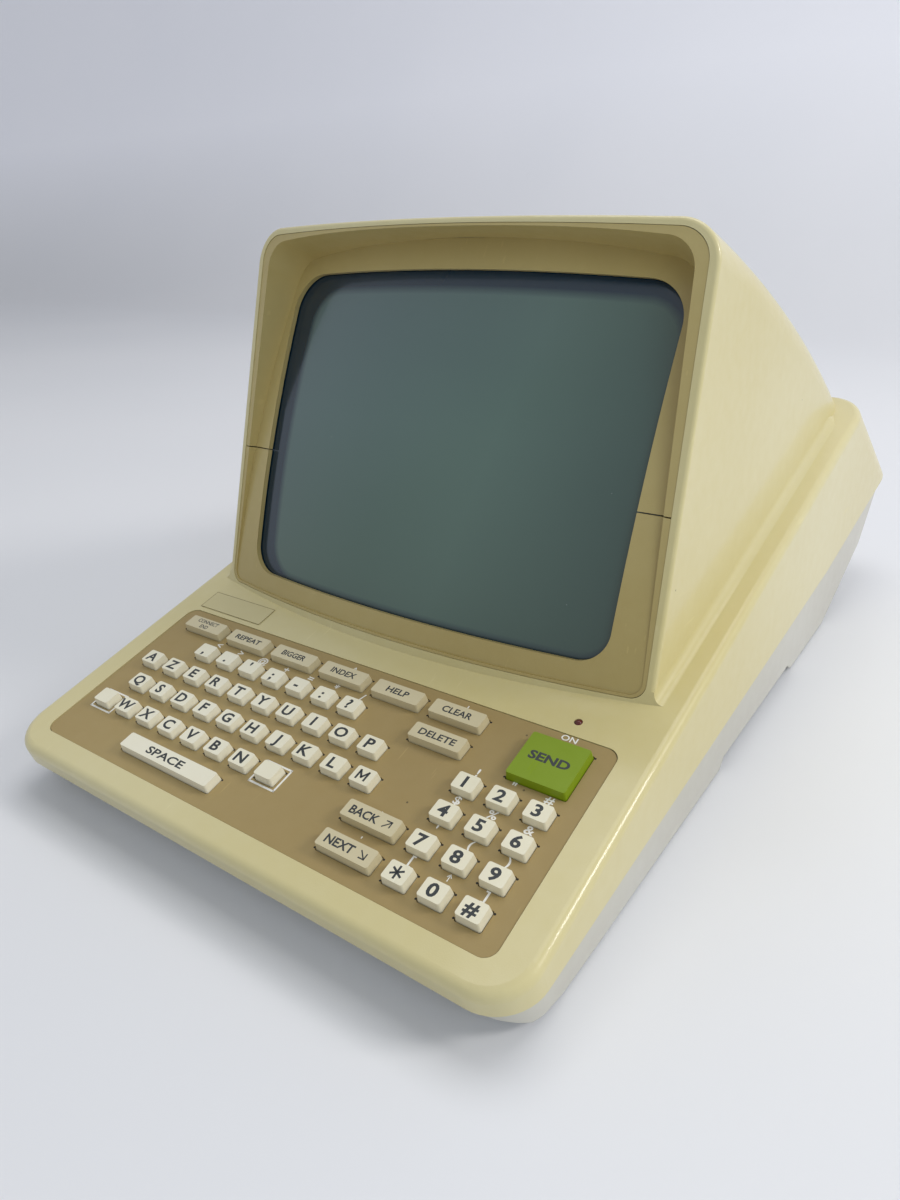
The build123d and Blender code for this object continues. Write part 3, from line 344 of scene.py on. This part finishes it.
def dull(name, color, dust, size, roughness=0.8):
    made = Finish(name, roughness)
    cloud = made.spread(made.noise(size, 3.0), 0.4, 0.7)
    made.set("Base Color", made.blend(cloud * 0.6, color, dust))
    made.set("Roughness", cloud * 0.1 + (roughness - 0.05))
    made.bump(made.noise(size / 8, 2.0), 0.05 * MM, 0.4)
    return made


finishes = {
    "case_beige": case_finish, "tray_grey": tray_finish, "surround_tan": surround_finish,
    "tube_glass": glass_finish, "panel_brown": panel_finish, "key_cream": cream_finish,
    "key_tan": tan_finish, "key_green": green_finish,
    "foot_rubber": dull("foot_rubber", tone(38, 36, 34), tone(78, 74, 68), 0.004),
    "black_rubber": dull("black_rubber", tone(30, 29, 28), tone(66, 62, 58), 0.004),
    "mat_grey": dull("mat_rubber", tone(98, 98, 94), tone(120, 118, 112), 0.006),
    "coil_brown": dull("varnished_copper", tone(96, 48, 22), tone(150, 86, 40), 0.0012, 0.4),
    "board_green": dull("circuit_board", tone(20, 70, 38), tone(44, 98, 56), 0.0016, 0.45),
    "lamp_red": dull("lamp_red", tone(82, 22, 16), tone(104, 34, 24), 0.002, 0.2),
    "black_plastic": plastic("black_plastic", tone(34, 34, 35), tone(46, 45, 44), 0.45),
    "steel": metal("plated_steel", tone(178, 176, 170), 0.35, (1, 1, 0.1)),
    "iron": metal("stacked_iron", tone(92, 88, 84), 0.55, (1, 0.05, 0.05)),
    "aluminium_bare": metal("bare_aluminium", tone(196, 198, 200), 0.35, (0.05, 1, 1)),
}
print("slots with a finish:", len(finishes))

# %% [markdown]
# ## Each solid gets its finish
# The record names a material slot for each solid, and the finishes above have the same names. The
# two blank shift keys are of the letters' cream plastic.

# %% Finishes onto the solids
for part in frame["record"]["subparts"]:
    solid = frame["nodes"][part["node"]]
    solid.data.materials.clear()
    solid.data.materials.append(finishes[part["material_slot"]].material)
for node in ("key_shift_left", "key_shift_right"):
    frame["nodes"][node].data.materials[0] = cream_finish.material

# %% [markdown]
# ## Printing
# The marks on the keys are dark ink, and those on the panel are white. Text is made, turned into
# a mesh, and moved to its key, where it stands as proud as thick ink. The font's capital letters
# fill only a part of its size, so that share is measured first, and each mark is then asked for by
# the height of its capitals.


# %% Ink
def ink(name, color, worn):
    made = Finish(name, 0.5)
    patches = made.spread(made.noise(0.0009, 2.0), 0.55, 0.75)
    made.set("Base Color", made.blend(patches * 0.35, color, worn))
    made.set("Roughness", patches * 0.2 + 0.4)
    made.bump(made.noise(0.0004), 0.01 * MM, 0.3)
    return made.material


dark_ink = ink("dark_ink", tone(34, 40, 42), tone(84, 86, 80))
white_ink = ink("white_ink", tone(236, 234, 226), tone(204, 199, 178))


def text_mesh(words, size, bold=0.0):
    bpy.ops.object.text_add(location=(0, 0, 0))
    text = bpy.context.object
    text.data.body = words
    text.data.size = size
    text.data.offset = bold
    text.data.extrude = INK / 2
    text.data.resolution_u = 3
    bpy.ops.object.convert(target="MESH")
    return bpy.context.object


def reach(mesh, axis):
    places = [corner.co[axis] for corner in mesh.data.vertices]
    return min(places), max(places)


clear_selection()
sample = text_mesh("H", 1.0)
CAPITAL_SHARE = reach(sample, 1)[1]
bpy.data.objects.remove(sample)
print("a capital fills", round(CAPITAL_SHARE, 3), "of the font's size")


# %% [markdown]
# A word is centred on its place along X, and stands on its baseline along Y, so that a comma stays
# low and a quotation mark stays high. A long word is squeezed to the width that it has, and a
# single mark is widened a little, because the font is narrower than the one on the keys. The
# strokes are thickened by an offset.

# %% One printed word
WIDENED = 1.16


def printed(words, x, y, height, level, bold=0.12, width=None):
    """A word whose capitals are this high, with its middle at x and y on the deck, in mm."""
    mesh = text_mesh(words, height * MM / CAPITAL_SHARE, bold * MM)
    low, high = reach(mesh, 0)
    squeeze = width * MM / (high - low) if width else WIDENED
    shift = Vector((x * MM, (y - height / 2) * MM, level + INK / 2))
    centred = Matrix.Translation((-(low + high) / 2, 0, 0))
    mesh.data.transform(Matrix.Translation(shift) @ Matrix.Diagonal((squeeze, 1, 1, 1)) @ centred)
    return mesh


def bar(start, end, thick, level):
    """A printed stroke between two places on the deck, in mm."""
    start, end = Vector(start), Vector(end)
    run = end - start
    bpy.ops.mesh.primitive_cube_add(size=1.0)
    mesh = bpy.context.object
    turned = Matrix.Rotation(math.atan2(run.y, run.x), 4, "Z")
    sized = Matrix.Diagonal(((run.length + thick) * MM, thick * MM, INK, 1))
    middle = (start + end) / 2 * MM
    mesh.data.transform(Matrix.Translation((middle.x, middle.y, level + INK / 2)) @ turned @ sized)
    return mesh


def joined(name, pieces, material, body):
    """The pieces as one mesh on the tilted deck, riding on a body."""
    clear_selection()
    for piece in pieces:
        piece.select_set(True)
    bpy.context.view_layer.objects.active = pieces[0]
    if len(pieces) > 1:
        bpy.ops.object.join()
    whole = pieces[0]
    whole.name = name
    whole.data.name = name
    whole.data.transform(DECK)
    whole.data.materials.clear()
    whole.data.materials.append(material)
    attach(whole, body)
    clear_selection()
    return whole


# %% [markdown]
# ## The marks on the keys
# The keys stand on a grid, 14 mm apart along a row and 13.1 mm from row to row. The letters follow
# the usual order of a keyboard for French. A row of letters is one body, so its letters are one
# mesh that rides on it.

# %% The grid and its letters
COLUMN = 14.0
ROW = 13.1
FIRST_X = -101.5
KEY_WIDTH = 8.5
KEY_DEPTH = 6.9
WIDE_KEY = 22.5
SPACE_BAR = 50.5
SEND_DEPTH = 20.0


def middle_of(column, row, width=KEY_WIDTH, depth=KEY_DEPTH):
    return FIRST_X + COLUMN * column + width / 2, ROW * row + depth / 2


LETTER_HEIGHT = 4.3
LETTER_BOLD = 0.17
DIGIT_HEIGHT = 4.4
DIGIT_BOLD = 0.2
letter_rows = {
    "keys_upper_letter_row": ("AZERTYUIOP", 0.0, 0),
    "keys_middle_letter_row": ("QSDFGHJKLM", 0.5, -1),
    "keys_lower_letter_row": ("WXCVBN", 1.0, -2),
    "keys_punctuation_row": (",.';-:?", 1.5, 1),
}


def drawn_m(x, y):
    """The offset of the font closes the narrow corners of an M, so this one is four strokes."""
    height, thick = LETTER_HEIGHT, 0.8
    half = height * 0.42
    low, high = y - height / 2 + thick / 2, y + height / 2 - thick / 2
    corners = [(x - half, low), (x - half, high), (x, low + 0.9), (x + half, high), (x + half, low)]
    return [bar(start, end, thick, KEY_TOP) for start, end in zip(corners, corners[1:])]


for node, (letters, first, row) in letter_rows.items():
    marks = []
    for place, letter in enumerate(letters):
        x, y = middle_of(first + place, row)
        if letter == "M":
            marks += drawn_m(x - 0.2, y)
        else:
            marks.append(printed(letter, x - 0.2, y, LETTER_HEIGHT, KEY_TOP, LETTER_BOLD))
    joined("ink_" + node, marks, dark_ink, node)
    print(node, "has", len(letters), "marks")

# %% Numbers
number_keys = [("key_1", "1", 12, 0), ("key_2", "2", 13, 0), ("key_3", "3", 14, 0),
               ("key_4", "4", 12, -1), ("key_5", "5", 13, -1), ("key_6", "6", 14, -1),
               ("key_7", "7", 12, -2), ("key_8", "8", 13, -2), ("key_9", "9", 14, -2),
               ("key_0", "0", 13, -3), ("key_hash", "#", 14, -3)]
for node, mark, column, row in number_keys:
    x, y = middle_of(column, row)
    digit = printed(mark, x - 0.3, y, DIGIT_HEIGHT, KEY_TOP, DIGIT_BOLD)
    joined("ink_" + node, [digit], dark_ink, node)
print("number keys marked:", len(number_keys))

# %% [markdown]
# The star has six arms on this keyboard, and the font's star is small and raised. Three printed
# strokes across one middle give the right one.

# %% The star
x, y = middle_of(12, -3)
STAR_ARM = 2.1
arms = []
for turn in (30, 90, 150):
    reach_x = STAR_ARM * math.cos(math.radians(turn))
    reach_y = STAR_ARM * math.sin(math.radians(turn))
    arms.append(bar((x - reach_x, y - reach_y), (x + reach_x, y + reach_y), 0.75, KEY_TOP))
joined("ink_key_star", arms, dark_ink, "key_star")
print("arms of the star:", len(arms) * 2)

# %% [markdown]
# ## Words on the wide keys
# The wide keys carry a plain word for what they do, squeezed to the width that the key leaves.

# %% Words
wide_keys = [("key_repeat", "REPEAT", 2, 2, 2.5, 15.0), ("key_zoom", "BIGGER", 4, 2, 2.7, 13.0),
             ("key_index", "INDEX", 6, 2, 2.7, 12.5), ("key_guide", "HELP", 8, 2, 2.7, 10.5),
             ("key_cancel", "CLEAR", 10, 2, 2.8, 13.0),
             ("key_correction", "DELETE", 10, 1, 2.8, 16.0)]
for node, word, column, row, height, width in wide_keys:
    x, y = middle_of(column, row, WIDE_KEY)
    joined("ink_" + node, [printed(word, x, y, height, KEY_TOP, 0.08, width)], dark_ink, node)
x, y = middle_of(0, 2, WIDE_KEY)
both = [printed("CONNECT", x, y + 1.5, 2.0, KEY_TOP, 0.03, 13.0),
        printed("END", x, y - 1.5, 2.0, KEY_TOP, 0.03, 4.8)]
joined("ink_key_connect", both, dark_ink, "key_connect")
x, y = middle_of(2.5, -3, SPACE_BAR)
space = printed("SPACE", x - 1.0, y, 3.2, KEY_TOP, 0.1, 21.0)
joined("ink_key_space", [space], dark_ink, "key_space")
x, y = middle_of(13, 1, WIDE_KEY, SEND_DEPTH)
send = printed("SEND", x, y + 0.5, 3.4, KEY_TOP, 0.17, 15.5)
joined("ink_key_send", [send], dark_ink, "key_send")
print("wide keys marked:", len(wide_keys) + 3)


# %% [markdown]
# The keys for the last page and the next one have an arrow after their word, drawn with three
# strokes: a shaft and the two sides of its head.

# %% Arrows
ARROW_RIGHT = 7.0
ARROW_SIZE = 2.6
ARROW_LINE = 0.45


def arrow(x, y, up, size, thick, level):
    tip = (x + size / 2, y + up * size / 2)
    tail = (x - size / 2, y - up * size / 2)
    return [bar(tail, tip, thick, level), bar(tip, (tip[0] - size * 0.8, tip[1]), thick, level),
            bar(tip, (tip[0], tip[1] - up * size * 0.8), thick, level)]


for node, word, row, up in (("key_back", "BACK", -2, 1), ("key_next", "NEXT", -3, -1)):
    x, y = middle_of(10, row, WIDE_KEY)
    label = printed(word, x - 2.8, y, 3.1, KEY_TOP, 0.11, 12.0)
    strokes = arrow(x + ARROW_RIGHT, y, up, ARROW_SIZE, ARROW_LINE, KEY_TOP)
    joined("ink_" + node, [label] + strokes, dark_ink, node)
print("arrows drawn: 2")

# %% [markdown]
# ## White print on the panel
# Behind many keys the panel carries the second sign of that key, in white. A white frame stands
# round each of the two blank shift keys.

# %% Second signs
SIGN_HEIGHT = 3.2
SIGN_BACK = 3.9
signs = [("<", 1.5, 1), (">", 2.5, 1), ("@", 3.5, 1), ("+", 4.5, 1), ("=", 5.5, 1), ("*", 6.5, 1),
         ("/", 7.5, 1), ("!", 12, 0), ('"', 13, 0), ("#", 14, 0), ("$", 12, -1), ("%", 13, -1),
         ("&", 14, -1), ("'", 12, -2), ("(", 13, -2), (")", 14, -2), ("[", 12, -3), ("]", 14, -3)]
panel_marks = []
for sign, column, row in signs:
    x, y = middle_of(column, row)
    back = y + KEY_DEPTH / 2 + SIGN_BACK
    panel_marks.append(printed(sign, x - 0.3, back, SIGN_HEIGHT, PANEL_TOP, 0.09))
for sign, column, row, across in (("^", 6, 2, 0.0), ("..", 8, 2, 0.0), ("|", 10, 2, 0.0),
                                  (",", 10, -2, 0.0), ("'", 10, -3, 0.0)):
    x, y = middle_of(column, row, WIDE_KEY)
    panel_marks.append(printed(sign, x, y + KEY_DEPTH / 2 + 2.6, 2.2, PANEL_TOP, 0.07))
x, y = middle_of(13, -3)
back = y + KEY_DEPTH / 2 + SIGN_BACK
panel_marks += [bar((x, back - 1.2), (x, back + 0.8), 0.35, PANEL_TOP),
                bar((x - 0.7, back + 0.2), (x, back + 1.2), 0.35, PANEL_TOP),
                bar((x + 0.7, back + 0.2), (x, back + 1.2), 0.35, PANEL_TOP)]
x, y = middle_of(13, 1, WIDE_KEY, SEND_DEPTH)
panel_marks.append(printed("ON", x, y + SEND_DEPTH / 2 + 4.3, 2.4, PANEL_TOP, 0.06))
print("signs on the panel:", len(signs) + 7)

# %% Frames round the shift keys
def outline(low_x, low_y, high_x, high_y, thick, level):
    """Four printed strokes round a rectangle on the deck, in mm."""
    corners = [(low_x, low_y), (high_x, low_y), (high_x, high_y), (low_x, high_y)]
    ends = corners[1:] + corners[:1]
    return [bar(start, end, thick, level) for start, end in zip(corners, ends)]


FRAME_WIDTH = 13.4
FRAME_DEPTH = 11.0
FRAME_LINE = 0.8
for column in (0, 7):
    x, y = middle_of(column, -2)
    half_x, half_y = (FRAME_WIDTH - FRAME_LINE) / 2, (FRAME_DEPTH - FRAME_LINE) / 2
    panel_marks += outline(x - half_x, y - half_y, x + half_x, y + half_y, FRAME_LINE, PANEL_TOP)
joined("panel_print", panel_marks, white_ink, "housing")
print("pieces of white print:", len(panel_marks))

# %% [markdown]
# ## Notches at the keys
# Each key comes up through a hole in the panel with a small round notch at two of its corners.
# They read as dark dots beside the key because they lie in shade, so they are thin dark discs of
# painted shade. They lie far enough away to clear the key's skirt, which is wider than its top.

# %% Notches
# Painted shade: the dark discs stand for the shade inside each notch.
painted_notch_shade_finish = dull("notch_shade", tone(26, 23, 18), tone(40, 36, 28), 0.002)
NOTCH_RADIUS = 0.42
NOTCH_AWAY = 0.95
NOTCH_BACK = 0.1
NARROW, WIDE = (KEY_WIDTH, KEY_DEPTH), (WIDE_KEY, KEY_DEPTH)
places = [(first + place, row, *NARROW)
          for letters, first, row in letter_rows.values() for place in range(len(letters))]
places += [(column, row, *NARROW) for node, mark, column, row in number_keys]
places += [(12, -3, *NARROW), (0, -2, *NARROW), (7, -2, *NARROW)]
places += [(column, row, *WIDE) for node, word, column, row, height, width in wide_keys]
places += [(0, 2, *WIDE), (10, -2, *WIDE), (10, -3, *WIDE),
           (2.5, -3, SPACE_BAR, KEY_DEPTH), (13, 1, WIDE_KEY, SEND_DEPTH)]
discs = []
for column, row, width, depth in places:
    x, y = middle_of(column, row, width, depth)
    for side in (-1, 1):
        notch_x = x + side * (width / 2 + NOTCH_AWAY)
        notch_y = y + side * (depth / 2 - NOTCH_BACK)
        bpy.ops.mesh.primitive_cylinder_add(vertices=12, radius=NOTCH_RADIUS * MM, depth=INK)
        disc = bpy.context.object
        disc.data.transform(Matrix.Translation((notch_x * MM, notch_y * MM, PANEL_TOP)))
        discs.append(disc)
joined("painted_notch_shade", discs, painted_notch_shade_finish.material, "housing")
print("notches:", len(discs))

# %% [markdown]
# ## The name strip
# A thin plate lies on the deck behind the panel. It is bare and pale, with a fine dark outline.

# %% Name strip
STRIP_LOW, STRIP_HIGH = Vector((-108.5, 41.7)), Vector((-69.0, 52.8))
STRIP_THICK = 0.25 * MM
bpy.ops.mesh.primitive_cube_add(size=1.0)
strip = bpy.context.object
size = (STRIP_HIGH - STRIP_LOW) * MM
middle = (STRIP_HIGH + STRIP_LOW) / 2 * MM
sized = Matrix.Diagonal((size.x, size.y, STRIP_THICK, 1))
strip.data.transform(Matrix.Translation((middle.x, middle.y, STRIP_THICK / 2)) @ sized)
bpy.ops.object.mode_set(mode="EDIT")
bpy.ops.mesh.select_all(action="SELECT")
bpy.ops.mesh.bevel(offset=0.08 * MM, segments=2)
bpy.ops.object.mode_set(mode="OBJECT")
strip_finish = plastic("name_strip", tone(208, 197, 148), tone(198, 186, 134), 0.35, 0.3, 0.02)
joined("name_strip", [strip], strip_finish.material, "housing")
STRIP_LINE = 0.22
outline_ink = ink("brown_ink", tone(120, 104, 66), tone(150, 134, 92))
edges = outline(*STRIP_LOW, *STRIP_HIGH, STRIP_LINE, STRIP_THICK)
joined("name_strip_outline", edges, outline_ink, "housing")
print("strip:", [round(part / MM, 1) for part in size], "mm")

# %% [markdown]
# ## Floor and light
# The terminal stands on a white table near a white wall. One sheet does for both: the floor
# sweeps up into a wall with a wide round fold, so no line shows behind the object. A soft
# lamp on the right, a little behind, lights the hood's side and leaves its front in shade,
# as in the photograph, and the world fills in the rest. The wall part glows a little, because the
# lamps are aimed at the object and would leave it dull. The fill lamp doesn't mirror in the
# screen. Beyond the sheet the world shows, so the camera and mirrors see it paler than its light.

# %% Floor that sweeps up
FLOOR_WIDTH, FLOOR_DEPTH = 8.0, 6.0
FLOOR_MIDDLE_Y = -1.2
WALL_HEIGHT = 3.0
FOLD_SIZE = 0.7
bpy.ops.mesh.primitive_plane_add(size=1.0)
floor = bpy.context.object
floor.name = "floor"
floor.data.transform(Matrix.Diagonal((FLOOR_WIDTH, FLOOR_DEPTH, 1.0, 1.0)))
floor.data.transform(Matrix.Translation((0.0, FLOOR_MIDDLE_Y, 0.0)))
bpy.ops.object.mode_set(mode="EDIT")
bpy.ops.mesh.select_mode(type="EDGE")
bpy.ops.mesh.select_all(action="DESELECT")
bpy.ops.object.mode_set(mode="OBJECT")
for edge in floor.data.edges:
    edge.select = all(floor.data.vertices[corner].co.y > 1.0 for corner in edge.vertices)
bpy.ops.object.mode_set(mode="EDIT")
bpy.ops.mesh.extrude_region_move(TRANSFORM_OT_translate={"value": (0.0, 0.0, WALL_HEIGHT)})
bpy.ops.object.mode_set(mode="OBJECT")
for edge in floor.data.edges:
    ends = [floor.data.vertices[corner].co for corner in edge.vertices]
    edge.select = all(abs(end.z) < 0.001 and end.y > 1.0 for end in ends)
bpy.ops.object.mode_set(mode="EDIT")
bpy.ops.mesh.bevel(offset=FOLD_SIZE, segments=16)
bpy.ops.object.mode_set(mode="OBJECT")
bpy.ops.object.shade_smooth()
floor_finish = Finish("pale_floor", 0.6)
clouds = floor_finish.noise(0.4, 1.0)
pale = floor_finish.blend(clouds, tone(226, 227, 230), tone(232, 232, 234))
floor_finish.set("Base Color", pale)
floor_finish.bump(floor_finish.noise(0.004), 0.05 * MM, 0.3)
wall_glow = floor_finish.spread(floor_finish.axis(2), 0.0, 0.5)
glow = floor_finish.blend(wall_glow, (0.0, 0.0, 0.0, 1.0), tone(232, 236, 255))
floor_finish.set("Emission Color", glow)
floor_finish.set("Emission Strength", 0.2)
floor.data.materials.append(floor_finish.material)
print("floor corners:", len(floor.data.vertices))


# %% Lamps and world
def lamp(name, place, aim, size, power, color=(1.0, 1.0, 1.0), mirrored=True):
    light = bpy.data.lights.new(name, "AREA")
    light.shape = "RECTANGLE"
    light.size, light.size_y = size
    light.energy = power
    light.color = color
    stand = bpy.data.objects.new(name, light)
    stand.location = place
    stand.visible_glossy = mirrored
    stand.rotation_euler = (Vector(aim) - Vector(place)).to_track_quat("-Z", "Y").to_euler()
    bpy.context.scene.collection.objects.link(stand)


lamp("window", (1.5, 0.5, 1.1), (0.0, 0.0, 0.1), (0.45, 0.45), 12.3, (1.0, 0.98, 0.95))
lamp("ceiling", (0.0, 0.5, 1.9), (0.0, 0.0, 0.1), (1.6, 1.2), 13.0)
lamp("fill", (1.0, -0.9, 0.8), (0.0, -0.1, 0.1), (0.8, 0.8), 4.5, (0.76, 0.87, 1.0), False)
WORLD_LIGHT, WORLD_SEEN = 0.4, 0.72
world = bpy.data.worlds.new("room")
world.use_nodes = True
room = world.node_tree
background = room.nodes["Background"]
background.inputs["Color"].default_value = (0.92, 0.95, 1.0, 1.0)
rays = room.nodes.new("ShaderNodeLightPath")
either = room.nodes.new("ShaderNodeMath")
either.operation = "MAXIMUM"
strength = room.nodes.new("ShaderNodeMapRange")
strength.inputs["To Min"].default_value = WORLD_LIGHT
strength.inputs["To Max"].default_value = WORLD_SEEN
room.links.new(rays.outputs["Is Camera Ray"], either.inputs[0])
room.links.new(rays.outputs["Is Glossy Ray"], either.inputs[1])
room.links.new(either.outputs[0], strength.inputs["Value"])
room.links.new(strength.outputs["Result"], background.inputs["Strength"])
bpy.context.scene.world = world
bpy.context.scene.view_settings.view_transform = "Standard"
print("lamps:", len(bpy.data.lights))
